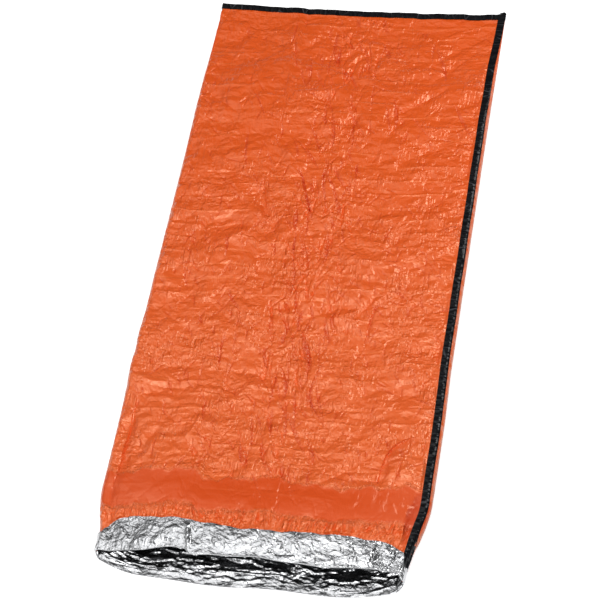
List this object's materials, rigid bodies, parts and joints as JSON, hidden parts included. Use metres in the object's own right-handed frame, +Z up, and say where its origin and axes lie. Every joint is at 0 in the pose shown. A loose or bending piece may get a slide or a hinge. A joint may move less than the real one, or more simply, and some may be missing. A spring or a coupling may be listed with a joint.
{
  "type": "film emergency bivy sack",
  "caption": "Film emergency bivy sack lying flat, orange outside and silver inside, mouth end turned back as a cuff, with black seam tape.",
  "frame": {"origin": "centre of the bounding box in plan, on the ground the sack lies on", "axes": "+X across the sack to its taped side, +Y along it from the mouth to the foot, +Z up from the ground"},
  "size_m": [0.905, 2.0329, 0.0848],
  "materials": {
    "orange_film": "gloss",
    "silver_film": "polished",
    "black_tape": "satin"
  },
  "bodies": {
    "bag": {"lower_panel": "orange_film", "upper_panel": "orange_film", "lower_cuff": "silver_film", "left_fold_edge": "orange_film", "left_mouth_wall": "orange_film", "right_wrap_edge": "orange_film", "right_mouth_wall": "orange_film", "upper_seam_margin": "orange_film", "side_seam_tape": "black_tape", "foot_seam_tape": "black_tape", "corner_tape_tail": "black_tape"},
    "mouth_flap": {"upper_lip_panel": "orange_film", "upper_cuff": "silver_film"}
  },
  "joints": [
    {"name": "mouth_lift", "type": "hinge", "parent": "bag", "child": "mouth_flap", "pos_m": [0, -0.3, 0.042], "axis": [-1, 0, 0], "range_deg": [0, 8]}
  ]
}
